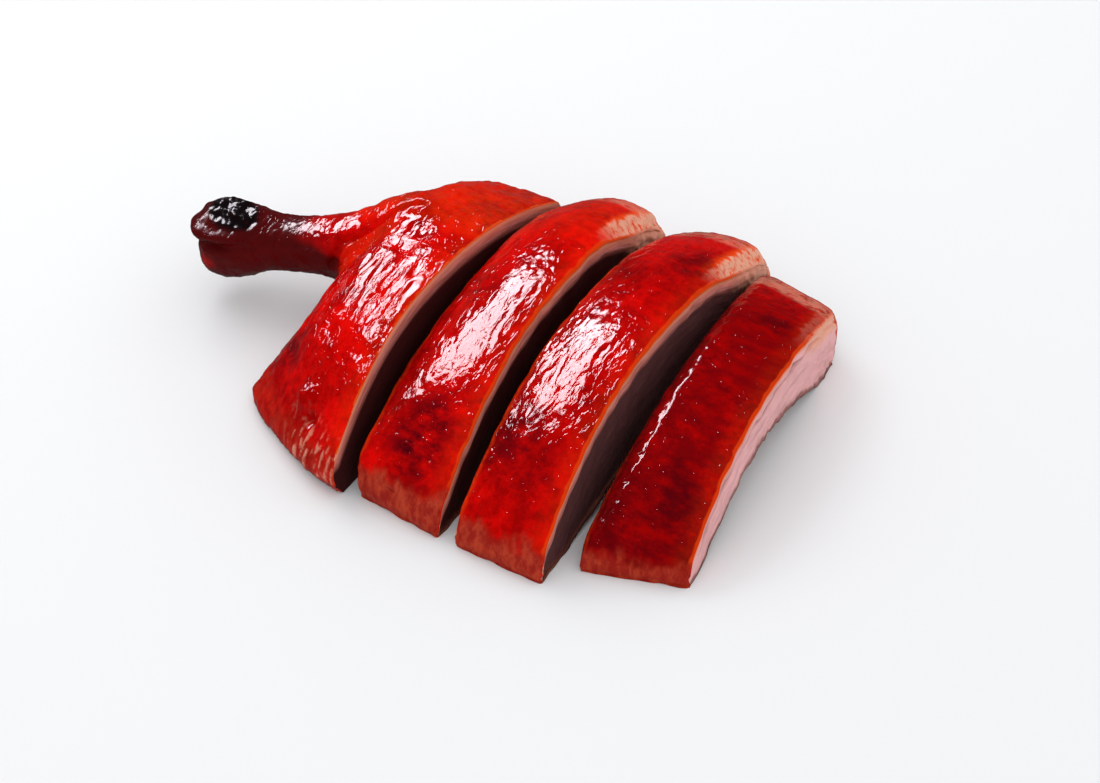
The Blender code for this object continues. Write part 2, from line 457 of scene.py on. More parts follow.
def make_crease_group():
    """Thin winding creases: 0 in a crease and 1 between them. Vector is in millimetres."""
    tree = bpy.data.node_groups.new("creases", "ShaderNodeTree")
    value_socket(tree, "Vector", "NodeSocketVector")
    value_socket(tree, "Cell", "NodeSocketFloat", 2.0)
    value_socket(tree, "Width", "NodeSocketFloat", 0.1)
    value_socket(tree, "Height", "NodeSocketFloat", is_output=True)
    ins = add_node(tree, "NodeGroupInput")
    outs = add_node(tree, "NodeGroupOutput")
    size = add_node(tree, "ShaderNodeMath", operation="DIVIDE")
    size.inputs[0].default_value = 1.0
    field = add_node(tree, "ShaderNodeTexNoise")
    field.inputs["Detail"].default_value = 3.0
    centred = add_node(tree, "ShaderNodeMath", operation="SUBTRACT")
    centred.inputs[1].default_value = 0.5
    folded = add_node(tree, "ShaderNodeMath", operation="ABSOLUTE")
    shape = add_node(tree, "ShaderNodeMapRange", interpolation_type="SMOOTHSTEP")
    join(tree, ins.outputs["Cell"], size.inputs[1])
    join(tree, ins.outputs["Vector"], field.inputs["Vector"])
    join(tree, size.outputs[0], field.inputs["Scale"])
    join(tree, field.outputs["Fac"], centred.inputs[0])
    join(tree, centred.outputs[0], folded.inputs[0])
    join(tree, folded.outputs[0], shape.inputs["Value"])
    join(tree, ins.outputs["Width"], shape.inputs["From Max"])
    join(tree, shape.outputs["Result"], outs.inputs["Height"])
    return tree


CREASES = make_crease_group()


def make_blister_group():
    """Small round blisters, one here and there. Height is 1 on top of one. Vector is in millimetres."""
    tree = bpy.data.node_groups.new("blisters", "ShaderNodeTree")
    value_socket(tree, "Vector", "NodeSocketVector")
    value_socket(tree, "Cell", "NodeSocketFloat", 2.0)
    value_socket(tree, "Radius", "NodeSocketFloat", 0.2)
    value_socket(tree, "Share", "NodeSocketFloat", 0.4)
    value_socket(tree, "Height", "NodeSocketFloat", is_output=True)
    ins = add_node(tree, "NodeGroupInput")
    outs = add_node(tree, "NodeGroupOutput")
    size = add_node(tree, "ShaderNodeMath", operation="DIVIDE")
    size.inputs[0].default_value = 1.0
    spots = add_node(tree, "ShaderNodeTexVoronoi", feature="F1")
    dome = add_node(tree, "ShaderNodeMapRange", interpolation_type="SMOOTHSTEP")
    dome.inputs["To Min"].default_value = 1.0
    dome.inputs["To Max"].default_value = 0.0
    split = add_node(tree, "ShaderNodeSeparateColor")
    chosen = add_node(tree, "ShaderNodeMath", operation="LESS_THAN")
    kept = add_node(tree, "ShaderNodeMath", operation="MULTIPLY")
    join(tree, ins.outputs["Cell"], size.inputs[1])
    join(tree, ins.outputs["Vector"], spots.inputs["Vector"])
    join(tree, size.outputs[0], spots.inputs["Scale"])
    join(tree, spots.outputs["Distance"], dome.inputs["Value"])
    join(tree, ins.outputs["Radius"], dome.inputs["From Max"])
    join(tree, spots.outputs["Color"], split.inputs[0])
    join(tree, split.outputs[0], chosen.inputs[0])
    join(tree, ins.outputs["Share"], chosen.inputs[1])
    join(tree, dome.outputs["Result"], kept.inputs[0])
    join(tree, chosen.outputs[0], kept.inputs[1])
    join(tree, kept.outputs[0], outs.inputs["Height"])
    return tree


BLISTERS = make_blister_group()


def object_millimetres(tree):
    """Object coordinates, in millimetres."""
    where = add_node(tree, "ShaderNodeTexCoord")
    scaled = add_node(tree, "ShaderNodeVectorMath", operation="SCALE")
    scaled.inputs["Scale"].default_value = 1.0 / MM
    join(tree, where.outputs["Object"], scaled.inputs[0])
    return scaled.outputs[0]


def stretched(tree, vector, factors):
    made = add_node(tree, "ShaderNodeVectorMath", operation="MULTIPLY")
    made.inputs[1].default_value = factors
    join(tree, vector, made.inputs[0])
    return made.outputs[0]


def mottled(tree, vector, cell, low, high):
    made = add_node(tree, "ShaderNodeGroup", node_tree=MOTTLE)
    made.inputs["Cell"].default_value = cell
    made.inputs["From"].default_value = low
    made.inputs["To"].default_value = high
    join(tree, vector, made.inputs["Vector"])
    return made.outputs["Fac"]


def creased(tree, vector, cell, width):
    made = add_node(tree, "ShaderNodeGroup", node_tree=CREASES)
    made.inputs["Cell"].default_value = cell
    made.inputs["Width"].default_value = width
    join(tree, vector, made.inputs["Vector"])
    return made.outputs["Height"]


def blistered(tree, vector, cell, radius, share):
    made = add_node(tree, "ShaderNodeGroup", node_tree=BLISTERS)
    made.inputs["Cell"].default_value = cell
    made.inputs["Radius"].default_value = radius
    made.inputs["Share"].default_value = share
    join(tree, vector, made.inputs["Vector"])
    return made.outputs["Height"]


def attribute(tree, name):
    made = add_node(tree, "ShaderNodeAttribute", attribute_type="GEOMETRY", attribute_name=name)
    return made.outputs["Fac"]


def calculated(tree, operation, a, b):
    """A Math node of two sockets or numbers."""
    made = add_node(tree, "ShaderNodeMath", operation=operation)
    for socket, value in zip(made.inputs, (a, b)):
        if isinstance(value, (int, float)):
            socket.default_value = value
        else:
            join(tree, value, socket)
    return made.outputs[0]


def times(tree, a, b):
    return calculated(tree, "MULTIPLY", a, b)


def plus(tree, a, b):
    return calculated(tree, "ADD", a, b)


def most(tree, a, b):
    return calculated(tree, "MAXIMUM", a, b)


def coloured(tree, share, base, top):
    """Paints top over base by a share, a socket. Either colour is a socket or three numbers."""
    made = add_node(tree, "ShaderNodeMix", data_type="RGBA")
    join(tree, share, made.inputs[0])
    for socket, colour in ((made.inputs[6], base), (made.inputs[7], top)):
        if isinstance(colour, tuple):
            socket.default_value = (*colour, 1.0)
        else:
            join(tree, colour, socket)
    return made.outputs[2]


def ranged(tree, value, low, high, to_low, to_high):
    made = add_node(tree, "ShaderNodeMapRange")
    made.inputs["From Min"].default_value = low
    made.inputs["From Max"].default_value = high
    made.inputs["To Min"].default_value = to_low
    made.inputs["To Max"].default_value = to_high
    join(tree, value, made.inputs["Value"])
    return made.outputs["Result"]


def bumped(tree, shader, height, strength, distance):
    """Gives a shader the relief of a height socket. Distance is in millimetres."""
    bump = add_node(tree, "ShaderNodeBump")
    bump.inputs["Strength"].default_value = strength
    bump.inputs["Distance"].default_value = distance * MM
    join(tree, height, bump.inputs["Height"])
    join(tree, bump.outputs["Normal"], shader.inputs["Normal"])


# Mottles: how large a blotch is in millimetres, and the noise values where one begins and is full.
CLOUDS = (16.0, 0.38, 0.66)
FINE_CLOUDS = (2.6, 0.40, 0.62)
STREAKS = (5.0, 0.52, 0.72)
BROWN_PATCHES = (6.5, 0.28, 0.62)
SPECKS = (1.1, 0.66, 0.74)
EDGE_BREAKS = (3.0, 0.34, 0.62)
SALMON_PATCHES = (2.2, 0.38, 0.66)
FAT_PATCHES = (2.4, 0.34, 0.54)
CHAR_PATCHES = (3.2, 0.22, 0.40)
PORES = (0.8, 0.30, 0.75)
# How a pattern is squeezed along X, Y and Z. Under 1, it is drawn out instead.
CLOUD_SHAPE = (1.0, 0.55, 1.0)
STREAK_SHAPE = (0.65, 1.15, 1.0)
DRIP_SHAPE = (1.0, 1.0, 0.35)
CREASE_SHAPE = (1.0, 0.38, 0.7)
# How strongly each mottle colours the lacquer.
CLOUD_STRENGTH = 0.75
FINE_CLOUD_STRENGTH = 0.35
STREAK_STRENGTH = 0.45
SPECK_STRENGTH = 0.7

LACQUER_RED = (0.78, 0.0022, 0.0008)
LACQUER_DEEP = (0.34, 0.0006, 0.0005)
BROWNED = (0.060, 0.0006, 0.0030)
EDGE_ORANGE = (0.80, 0.058, 0.004)
BARE_SKIN = (0.30, 0.008, 0.003)
RAW_SALMON = (0.46, 0.040, 0.013)
PALE_FAT = (0.84, 0.40, 0.27)
CHAR = (0.006, 0.0025, 0.0035)
SHANK_MAROON = (0.062, 0.0012, 0.0018)

GLAZE_ROUGHNESS = 0.06
ADDED_ROUGHNESS = {"dull": 0.20, "maroon": 0.15, "char": 0.12}
SKIN_SPECULAR = 0.25
SKIN_BUMP = 0.09
CREASE_CELL = 3.4
CREASE_WIDTH = 0.05
PORE_HEIGHT = 0.05
BLISTER_CELL = 1.7
BLISTER_RADIUS = 0.19
BLISTER_SHARE = 0.55
BLISTER_HEIGHT = 1.4


def lacquer_colour(tree, where):
    """Clear red glaze, deeper in clouds, streaked and speckled brown, and orange along the cuts."""
    streaky = stretched(tree, where, STREAK_SHAPE)
    clouds = mottled(tree, stretched(tree, where, CLOUD_SHAPE), *CLOUDS)
    fine = mottled(tree, where, *FINE_CLOUDS)
    shade = plus(tree, times(tree, clouds, CLOUD_STRENGTH), times(tree, fine, FINE_CLOUD_STRENGTH))
    shade = plus(tree, shade, attribute(tree, "deepened"))
    colour = coloured(tree, calculated(tree, "MINIMUM", shade, 1.0), LACQUER_RED, LACQUER_DEEP)
    streaks = times(tree, mottled(tree, streaky, *STREAKS), STREAK_STRENGTH)
    colour = coloured(tree, streaks, colour, BROWNED)
    brown = times(tree, attribute(tree, "browned"), mottled(tree, streaky, *BROWN_PATCHES))
    colour = coloured(tree, brown, colour, BROWNED)
    specks = times(tree, mottled(tree, where, *SPECKS), SPECK_STRENGTH)
    colour = coloured(tree, specks, colour, BROWNED)
    # The orange is broken up where it is faint, and solid at the very edge.
    glow = attribute(tree, "edge_glow")
    broken = ranged(tree, mottled(tree, streaky, *EDGE_BREAKS), 0.0, 1.0, 0.35, 1.0)
    solid = ranged(tree, glow, 0.4, 0.7, 0.0, 1.0)
    return coloured(tree, times(tree, glow, most(tree, broken, solid)), colour, EDGE_ORANGE)


def skin_roughness(tree):
    """A smooth glaze, rougher where it ran thin, on the shank and on the char."""
    added = 0.0
    for name, roughness in ADDED_ROUGHNESS.items():
        added = most(tree, times(tree, attribute(tree, name), roughness), added)
    return plus(tree, added, GLAZE_ROUGHNESS)


def skin_bumps(tree, where):
    """Creases where the skin is lively, fine pores all over, and blisters here and there."""
    creases = creased(tree, stretched(tree, where, CREASE_SHAPE), CREASE_CELL, CREASE_WIDTH)
    pores = mottled(tree, where, *PORES)
    blisters = blistered(tree, where, BLISTER_CELL, BLISTER_RADIUS, BLISTER_SHARE)
    height = plus(tree, times(tree, creases, attribute(tree, "lively")), times(tree, pores, PORE_HEIGHT))
    return plus(tree, height, times(tree, blisters, BLISTER_HEIGHT))


def make_skin_material():
    """Red lacquer over roasted skin, painted over with bare salmon skin, fat (over the far end's roll partly a
    painted reflection), the shank's maroon and char.
    """
    material = bpy.data.materials.new("lacquered_skin")
    material.use_nodes = True
    tree = material.node_tree
    shader = tree.nodes["Principled BSDF"]
    where = object_millimetres(tree)
    colour = lacquer_colour(tree, where)
    salmon = mottled(tree, stretched(tree, where, DRIP_SHAPE), *SALMON_PATCHES)
    colour = coloured(tree, attribute(tree, "dull"), colour, coloured(tree, salmon, BARE_SKIN, RAW_SALMON))
    # The fat's colour here also carries a painted grazing reflection over the slices' far roll.
    fatty = mottled(tree, stretched(tree, where, STREAK_SHAPE), *FAT_PATCHES)
    colour = coloured(tree, times(tree, attribute(tree, "fat"), fatty), colour, PALE_FAT)
    colour = coloured(tree, attribute(tree, "maroon"), colour, SHANK_MAROON)
    burnt = times(tree, attribute(tree, "char"), mottled(tree, where, *CHAR_PATCHES))
    join(tree, coloured(tree, burnt, colour, CHAR), shader.inputs["Base Color"])
    join(tree, skin_roughness(tree), shader.inputs["Roughness"])
    shader.inputs["Specular IOR Level"].default_value = SKIN_SPECULAR
    bumped(tree, shader, skin_bumps(tree, where), 1.0, SKIN_BUMP)
    return material


FIBRES = (0.8, 0.36, 0.68)
BUNDLES = (2.2, 0.38, 0.66)
ROAST_BLOTCHES = (3.0, 0.34, 0.70)
FIBRE_SHAPE = (0.9, 0.07, 0.9)
BUNDLE_SHAPE = (0.5, 0.12, 0.5)
ROAST_SHAPE = (1.0, 0.16, 0.0)

MEAT_PINK = (0.58, 0.150, 0.105)
FAT_LINE = (0.82, 0.30, 0.18)
ROAST_TAN = (0.23, 0.075, 0.040)
MEAT_BROWN = (0.120, 0.034, 0.026)
# Near black, a painted shade: meat deep under the skin, in the narrow gaps between slices, is painted this
# dark.
PAINTED_GAP_SHADE = (0.045, 0.007, 0.007)
MEAT_LIGHT = (0.88, 0.46, 0.46)
SKIN_LINE = (0.80, 0.085, 0.008)

# Depths under the skin between which one layer turns into the next. Deepest, the meat turns into the painted
# shade of the gaps between slices, and the grain fades out into it.
SKIN_LINE_DEPTH = (0.55, 1.0)
FAT_LINE_DEPTH = (1.6, 2.6)
GRAIN_DEPTH = (3.8, 6.0)
GAP_SHADE_DEPTH = (3.0, 6.0)
FAT_LINE_STRENGTH = 0.75
SEAM_STRENGTH = 0.8
# How strongly the bundles darken the meat and the fibres lighten it, under the skin and on a pale face.
BUNDLE_STRENGTH = 0.35
PALE_BUNDLE_STRENGTH = 0.42
FIBRE_STRENGTH = 0.30
PALE_FIBRE_STRENGTH = 0.5
MEAT_ROUGHNESS = (0.42, 0.62)
MEAT_SPECULAR = 0.04
MEAT_BUMP_STRENGTH = 0.7
MEAT_BUMP = 0.12


def grained_meat(tree, grain, fibres, bundles):
    """Pink under the skin and painted near-black shade further in, where the gaps between slices lie, or pale
    all over where a face lies open, with dark bundles and light fibres.
    """
    depth = attribute(tree, "skin_depth")
    pale = attribute(tree, "pale")
    # Deeper under the skin the meat is painted near black: painted shade of the gaps between slices.
    colour = coloured(tree, ranged(tree, depth, *GAP_SHADE_DEPTH, 0.0, 1.0), MEAT_PINK, PAINTED_GAP_SHADE)
    colour = coloured(tree, pale, colour, MEAT_LIGHT)
    colour = coloured(tree, times(tree, attribute(tree, "seam"), SEAM_STRENGTH), colour, MEAT_BROWN)
    dark = times(tree, bundles, ranged(tree, depth, *GRAIN_DEPTH, BUNDLE_STRENGTH, 0.0))
    dark = most(tree, dark, times(tree, times(tree, bundles, pale), PALE_BUNDLE_STRENGTH))
    colour = coloured(tree, dark, colour, MEAT_BROWN)
    light = ranged(tree, depth, *GRAIN_DEPTH, FIBRE_STRENGTH, 0.0)
    light = most(tree, light, times(tree, pale, PALE_FIBRE_STRENGTH))
    colour = coloured(tree, times(tree, fibres, light), colour, MEAT_LIGHT)
    blotches = mottled(tree, stretched(tree, grain, ROAST_SHAPE), *ROAST_BLOTCHES)
    colour = coloured(tree, ranged(tree, depth, *FAT_LINE_DEPTH, FAT_LINE_STRENGTH, 0.0), colour, FAT_LINE)
    roasted = coloured(tree, blotches, MEAT_BROWN, ROAST_TAN)
    colour = coloured(tree, attribute(tree, "browned"), colour, roasted)
    colour = coloured(tree, ranged(tree, depth, *SKIN_LINE_DEPTH, 1.0, 0.0), colour, SKIN_LINE)
    return coloured(tree, attribute(tree, "fat"), colour, PALE_FAT)


def make_meat_material():
    """A knife cut through roast thigh: an orange line of skin, a pale layer, then long-grained meat, painted
    dark with shade deeper down.
    """
    material = bpy.data.materials.new("carved_meat")
    material.use_nodes = True
    tree = material.node_tree
    shader = tree.nodes["Principled BSDF"]
    read = add_node(tree, "ShaderNodeAttribute", attribute_type="GEOMETRY", attribute_name="grain")
    grain = read.outputs["Vector"]
    fibres = mottled(tree, stretched(tree, grain, FIBRE_SHAPE), *FIBRES)
    bundles = mottled(tree, stretched(tree, grain, BUNDLE_SHAPE), *BUNDLES)
    join(tree, grained_meat(tree, grain, fibres, bundles), shader.inputs["Base Color"])
    join(tree, ranged(tree, bundles, 0.0, 1.0, *MEAT_ROUGHNESS), shader.inputs["Roughness"])
    shader.inputs["Specular IOR Level"].default_value = MEAT_SPECULAR
    bumped(tree, shader, fibres, MEAT_BUMP_STRENGTH, MEAT_BUMP)
    return material


SKIN = make_skin_material()
MEAT = make_meat_material()

# A slice's numbers, in millimetres unless they are shares, degrees or strengths:
# middle, width, narrowing, turn: its middle along X, width, what it narrows by per length, and its turn.
# left, right: its sections at the two cuts.
# far_lift, mid_lift: how much the skin rises between the cuts, at the far end and half way along.
# peak, fall_power: where across the width the skin is highest, and how round it falls to the right cut.
# undercut, scallop: how far the foot of the right cut is hollowed, and how ragged it is.
# waves, wrinkles, edge_dimples, pits, creases: how strong each kind of relief is.
# dull_height, pale, deepened: how high the dull near end reaches, how pale the right cut's meat is, and how
# much darker the lacquer is. A pale cut face is lifted out of the painted gap shade.
# rolled_fat_and_sheen, rim_fat: how much pale colour shows where the skin rolls over the far end, partly fat
# and partly a painted grazing reflection, and how much fat shows along the right rim there.
# far_glow, far_bevel: how orange the far end is, and how far its right edge is cut down.
# browned: patches, each with its place along X from the middle and along Y, its radius and its strength.
SLICES = {
    "second_slice": dict(
        middle=-9.4, width=27.4, narrowing=0.0, turn=0.6, far_lift=4.5, mid_lift=0.0,
        left=(-60.5, 51.0, 1.0, 12.0, 31.5, 0.66, 20.0, 4.0),
        right=(-63.6, 57.5, 0.8, 6.5, 38.0, 0.58, 22.0, 4.0),
        peak=0.50, fall_power=2.0, undercut=1.5, scallop=0.3,
        waves=0.28, wrinkles=0.095, edge_dimples=0.12, pits=0.12, creases=0.4,
        dull_height=11.0, pale=0.0, deepened=0.0,
        rolled_fat_and_sheen=0.35, rim_fat=1.0, far_glow=0.15, far_bevel=2.4,
        browned=((1.0, -51.0, 13.0, 1.0), (-3.0, -43.0, 7.0, 0.45), (0.0, -30.0, 40.0, 0.35)),
    ),
    "third_slice": dict(
        middle=22.0, width=26.8, narrowing=0.0, turn=0.5, far_lift=2.5, mid_lift=0.0,
        left=(-63.2, 56.0, 0.8, 6.5, 33.5, 0.60, 20.0, 4.0),
        right=(-63.8, 61.5, 0.8, 7.0, 36.0, 0.50, 20.0, 4.5),
        peak=0.50, fall_power=2.0, undercut=1.5, scallop=0.3,
        waves=0.28, wrinkles=0.125, edge_dimples=0.12, pits=0.06, creases=0.5,
        dull_height=9.0, pale=0.05, deepened=0.15,
        rolled_fat_and_sheen=0.35, rim_fat=1.0, far_glow=0.0, far_bevel=2.4,
        browned=(
            (-7.0, -42.0, 11.0, 0.8), (3.0, -47.0, 8.0, 0.5), (-9.0, 20.0, 8.0, 0.4),
            (3.0, 34.0, 10.0, 0.7), (0.0, 0.0, 60.0, 0.25),
        ),
    ),
    "end_slice": dict(
        middle=51.8, width=27.4, narrowing=0.021, turn=3.5, far_lift=1.0, mid_lift=3.6,
        left=(-54.0, 56.0, 0.6, 6.0, 22.0, 0.66, 17.0, 4.0),
        right=(-46.3, 49.5, 0.6, 6.5, 26.0, 0.57, 19.5, 6.0),
        peak=0.23, fall_power=1.15, undercut=5.0, scallop=0.6,
        waves=0.07, wrinkles=0.018, edge_dimples=0.34, pits=0.04, creases=0.12,
        dull_height=6.0, pale=0.95, deepened=0.55,
        rolled_fat_and_sheen=0.4, rim_fat=0.15, far_glow=0.0, far_bevel=0.6,
        browned=(
            (2.0, 30.0, 9.0, 0.8), (-4.0, 12.0, 8.0, 0.5), (3.0, -34.0, 14.0, 0.85),
            (-6.0, -8.0, 8.0, 0.6), (0.0, -52.0, 34.0, 0.75), (0.0, -30.0, 80.0, 0.6),
        ),
    ),
}
# Browned patches are longer along Y by this much.
PATCH_STRETCH = 1.4
# The relief stands on a surface this far inside the solid's, on the skin and on the meat.
SKIN_SINK = 0.30
MEAT_SINK = 0.35
FINE_WRINKLES = 0.6


def hollowed(low, spec, section, share, to_right):
    """The underside's height, with the foot of the right cut hollowed and ragged."""
    arched = np.sin(math.pi * np.clip((share - UNDERCUT_START) / UNDERCUT_LENGTH, 0.0, 1.0))
    low = low + spec["undercut"] * arched * ramp(to_right, UNDERCUT_REACH, 0.0)
    along_edge = columns(section[:, FAR] * share / SCALLOP_LENGTH, 0.0, 0.0)
    scallops = noise(along_edge) + 0.7 * noise(2.3 * along_edge + 5.0)
    return low + spec["scallop"] * scallops * arched * ramp(to_right, SCALLOP_REACH, 0.0)


def slice_form(spec, unit):
    """A slice's points before its relief, and where in the slice each of them lies."""
    across = 0.5 * unit[:, 0] + 0.5 * (0.5 - 0.5 * np.cos(math.pi * unit[:, 0]))
    share = unit[:, 1]
    rise = 1.0 - (1.0 - unit[:, 2]) ** LAYER_CROWDING
    section = np.array(spec["left"]) + np.outer(across, np.subtract(spec["right"], spec["left"]))
    swell = swelling(across, spec["peak"], spec["fall_power"])
    to_left = across * spec["width"]
    to_right = (1.0 - across) * spec["width"]
    to_cut = np.minimum(to_left, to_right)
    near = section[:, NEAR]
    far = section[:, FAR] + FAR_STRETCH * swell
    low = hollowed(underside_height(section, share), spec, section, share, to_right)
    lift = NEAR_LIFT + (spec["far_lift"] - NEAR_LIFT) * share
    lift = swell * (lift + spec["mid_lift"] * np.sin(math.pi * np.clip(share, 0.0, 1.0)))
    high = skin_height(section, share) + lift - rounding(to_cut, CUT_RIM)
    at_far_rim = ramp(share, *FAR_RIM)
    high -= spec["far_bevel"] * at_far_rim * ramp(to_right, FAR_RIM_WIDTH, 0.0)
    y = near + (far - near) * share
    uneven = flat_pattern("uneven", to_left, y, spec["middle"])
    from_end = np.maximum(y - near + SHOULDER_UNEVEN * uneven * ramp(share, 0.1, 0.0), 0.0)
    high -= rounding(from_end, SHOULDER_ROUNDING)
    z = low + (high - low) * rise
    bulging = np.sin(math.pi * rise)
    y -= section[:, BULGE] * bulging * ramp(share, *NEAR_END)
    y += FAR_BULGE * bulging * ramp(share, *FAR_END)
    y += rounding(to_cut, END_ROUNDING) * (ramp(share, *ROUNDED_NEAR) - ramp(share, *ROUNDED_FAR))
    x = (across - 0.5) * (spec["width"] - spec["narrowing"] * y) - z * KNIFE_LEAN
    wobble = EDGE_WOBBLE + EDGE_WOBBLE * flat_pattern("wobble", y, z, across + spec["middle"])
    x += wobble * (ramp(to_left, WOBBLE_REACH, 0.0) - ramp(to_right, WOBBLE_REACH, 0.0))
    return SimpleNamespace(
        x=x, y=y, z=z, share=share, to_left=to_left, to_right=to_right, low=low, depth=high - z,
        far=section[:, FAR], at_far_rim=at_far_rim, under=rise < 0.001, on_cut=ramp(to_cut, 0.05, 0.0),
    )


def in_place(spec, form):
    """A slice's points, turned about the vertical and moved to the slice's place along the leg."""
    turn = math.radians(spec["turn"])
    cos, sin = math.cos(turn), math.sin(turn)
    about_vertical = np.array(((cos, sin, 0.0), (-sin, cos, 0.0), (0.0, 0.0, 1.0)))
    turned = columns(form.x, form.y, form.z) @ about_vertical
    turned[:, 0] += spec["middle"]
    return turned


def dulled(spec, form, place):
    """1 where the lacquer ran thin, low on the near end, and a little less low on the far end."""
    border = spec["dull_height"] + 2.5 * pattern("dull_border", place)
    border += 1.6 * pattern("dull_fringe", place)
    dull = ramp(form.z - border, 2.2, -2.0) * ramp(form.share, 0.30, 0.15)
    return np.maximum(dull, 0.8 * ramp(form.z - border, 2.0, -4.0) * ramp(form.share, 0.8, 0.95))


def skin_relief(spec, form, place, dull, ribs):
    """How far a slice's skin stands off its form, and its underside off the flat."""
    wrinkles = pattern("wrinkles", place) + FINE_WRINKLES * pattern("fine_wrinkles", place)
    pits = ramp(pattern("pits", place), 0.35, 0.75)
    dimples = pattern("dimples", place) + 0.4 * pattern("fine_dimples", place)
    calm = 1.0 - 0.2 * dull
    relief = spec["waves"] * pattern("waves", place) + spec["wrinkles"] * calm * wrinkles
    relief -= spec["pits"] * pits
    near_left = ramp(form.to_left, 8.0, 4.0)
    relief += spec["edge_dimples"] * dimples * near_left * ramp(form.to_left, 0.4, 1.4)
    relief += 0.10 * dull * pattern("near_folds", place)
    relief += 0.12 * ramp(form.share, 0.70, 0.85) * pattern("far_wrinkles", place)
    relief += 0.5 * ribs * form.at_far_rim * ramp(form.to_right, 4.2, 2.0) * spec["rim_fat"]
    relief -= SKIN_SINK
    return np.where(form.under, 0.7 * pattern("underside", place), relief)


def cut_looks(spec, form):
    """A cut's seam between muscles, its far end, the pattern torn there, and how far its meat stands out."""
    lumps = flat_pattern("lumps", form.y, form.depth, spec["middle"])
    torn = flat_pattern("torn", form.y, form.depth, spec["middle"])
    at_far_end = ramp(form.y, form.far - 22.0, form.far - 10.0)
    recede = 0.55 * ramp(form.depth + 1.2 * lumps, 4.0, 6.0)
    seam = np.exp(-(((form.depth - 4.4 - 0.8 * lumps) / 0.6) ** 2)) * ramp(form.share, 0.04, 0.12)
    relief = 0.08 * flat_pattern("fibres", form.y, form.depth, spec["middle"])
    relief = relief - 1.1 * spec["pale"] * seam + 0.22 * lumps
    relief = relief + 0.5 * at_far_end * torn - recede * (1.0 - spec["pale"]) - MEAT_SINK
    return seam, at_far_end, torn, relief


def slice_glow(spec, form, place):
    """How orange the skin is: along both cuts, over the far rim and at the far end."""
    edge = 1.6 + 0.8 * pattern("left_glow", place)
    rim = form.to_right + 0.4 * pattern("right_glow", place)
    glow = np.maximum(0.7 * ramp(rim, 1.0, 0.3), 0.10 * ramp(form.to_right, 7.5, 1.0))
    glow = np.maximum(glow, form.at_far_rim * spec["rim_fat"] * ramp(form.to_right, 6.5, 3.5))
    glow = np.maximum(glow, spec["far_glow"] * ramp(form.share, 0.62, 0.82))
    return np.maximum(glow, ramp(form.to_left, edge, 0.3) * 0.5)


def slice_browned(spec, form, torn):
    """How browned a slice is: in patches, low at the far end, underneath, and at the foot of its cuts."""
    browned = np.zeros(len(form.x))
    for at_x, at_y, radius, strength in spec["browned"]:
        away = np.hypot(form.x - at_x, (form.y - at_y) / PATCH_STRETCH)
        browned = np.maximum(browned, strength * ramp(away, radius, radius * 0.3))
    browned = np.maximum(browned, 0.8 * ramp(form.share, 0.84, 0.95) * ramp(form.z, 26.0, 8.0))
    browned = np.where(form.under, 1.0, browned)
    foot = 0.75 * ramp(form.z - form.low + 0.6 * torn, 1.9, 0.6)
    return np.where(form.on_cut > 0.5, foot, browned)


def slice_fat(spec, form, at_far_end, torn, ribs):
    """Where pale fat shows: at a cut's far end, over the far end's roll, where it also paints a grazing
    reflection, and along the far rim.
    """
    on_meat = at_far_end * ramp(form.depth + 1.5 * torn, 7.5, 5.5) * 0.85
    # Over the far end's roll the pale colour is partly fat and partly a painted grazing reflection.
    rolled_fat_and_sheen = spec["rolled_fat_and_sheen"] * ramp(form.share, 0.925, 0.95) * ramp(form.share, 1.0, 0.99)
    on_rim = spec["rim_fat"] * ramp(form.to_right + 1.2 * ribs, 4.0, 2.6) * form.at_far_rim
    fat = np.where(form.on_cut > 0.5, on_meat, np.maximum(rolled_fat_and_sheen, on_rim))
    return np.where(form.under, 0.0, fat)


def finish_piece(name, mesh, is_meat):
    """Gives these faces the meat's material and the rest the skin's, and replaces the named solid."""
    mesh.polygons.foreach_set("material_index", is_meat.astype(np.int32))
    piece = placed(name + "_roasted", mesh, (SKIN, MEAT))
    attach(piece, "root")
    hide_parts(name)


def make_slice(name, spec):
    mesh, unit, looks = block(name, (GRID_ACROSS, GRID_ALONG, GRID_HEIGHT))
    form = slice_form(spec, unit)
    turned = in_place(spec, form)
    write_points(mesh, turned)
    place = turned + np.array((spec["middle"], 0.0, 0.0))
    dull = dulled(spec, form, place)
    ribs = flat_pattern("ribs", form.y, form.to_right, spec["middle"])
    seam, at_far_end, torn, meat_relief = cut_looks(spec, form)
    relief = form.on_cut * ramp(form.depth, 0.4, 1.6) * meat_relief
    relief = relief + (1.0 - form.on_cut) * skin_relief(spec, form, place, dull, ribs)
    final = turned + normals_of(mesh) * relief[:, None]
    final[:, 2] = np.maximum(final[:, 2], 0.0)
    write_points(mesh, (final + DRAWING_SHIFT) * MM)

    count = len(turned)
    store(mesh, "edge_glow", slice_glow(spec, form, place) * (1.0 - 0.6 * dull))
    store(mesh, "dull", dull * (1.0 - form.on_cut))
    store(mesh, "deepened", np.full(count, spec["deepened"]))
    store(mesh, "lively", np.full(count, spec["creases"]))
    store(mesh, "browned", slice_browned(spec, form, torn))
    store(mesh, "fat", slice_fat(spec, form, at_far_end, torn, ribs))
    store(mesh, "seam", seam * form.on_cut * spec["pale"])
    store(mesh, "maroon", np.zeros(count))
    store(mesh, "char", np.zeros(count))
    store(mesh, "skin_depth", form.depth)
    store(mesh, "pale", np.full(count, spec["pale"]) * ramp(form.to_right, 1.0, 0.0))
    store_grain(mesh, columns(form.x, form.y, form.depth))
    finish_piece(name, mesh, (np.abs(looks[:, 0]) > 0.5) | (looks[:, 2] < -0.5))


for slice_name, slice_spec in SLICES.items():
    make_slice(slice_name, slice_spec)

